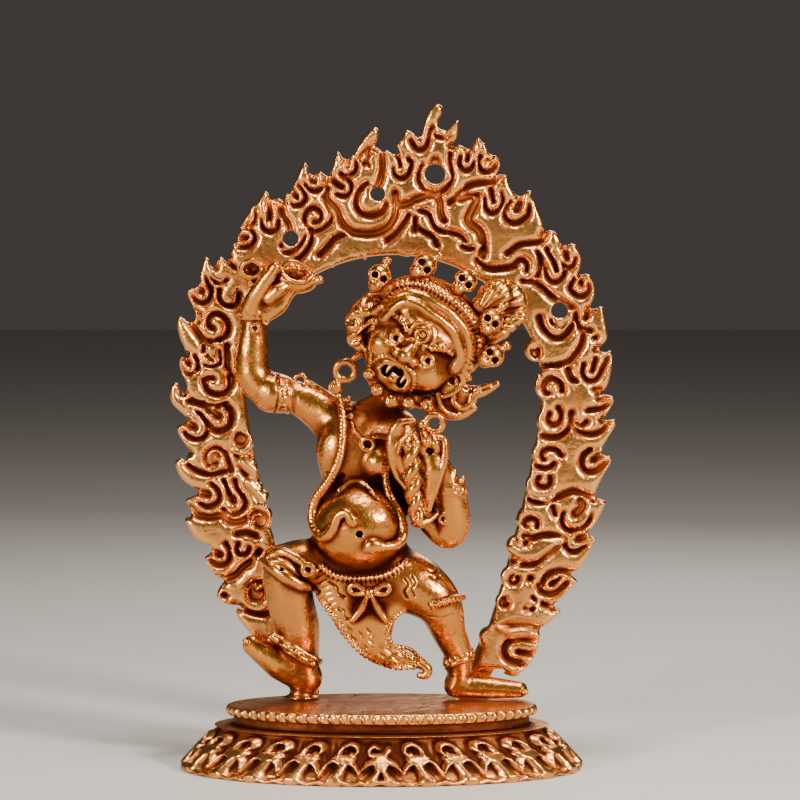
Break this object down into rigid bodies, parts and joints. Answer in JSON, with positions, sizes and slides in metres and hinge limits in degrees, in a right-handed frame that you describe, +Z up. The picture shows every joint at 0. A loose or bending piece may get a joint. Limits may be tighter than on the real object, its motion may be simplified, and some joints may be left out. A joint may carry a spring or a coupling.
{
  "type": "wrathful deity statuette",
  "caption": "Cast gilt statuette of a striding wrathful deity with raised thunderbolt and noose, in front of a pierced flame halo on an oval lotus base.",
  "frame": {"origin": "middle of the flat underside of the lotus base", "axes": "+Z up, the figure faces -Y, +X to the viewer's right when looking at its front"},
  "size_m": [0.0602, 0.033, 0.0891],
  "materials": {
    "figure_gilding": "worn fire gilding with red-brown patina in the recesses",
    "aureole_gilding": "worn fire gilding over rough cast metal, dark recesses",
    "base_gilding": "thin gilding, brown and dull on the plate and in the petals"
  },
  "bodies": {
    "root": {"figure": "figure_gilding", "flame_aureole": "aureole_gilding", "lotus_base": "base_gilding"}
  },
  "joints": []
}
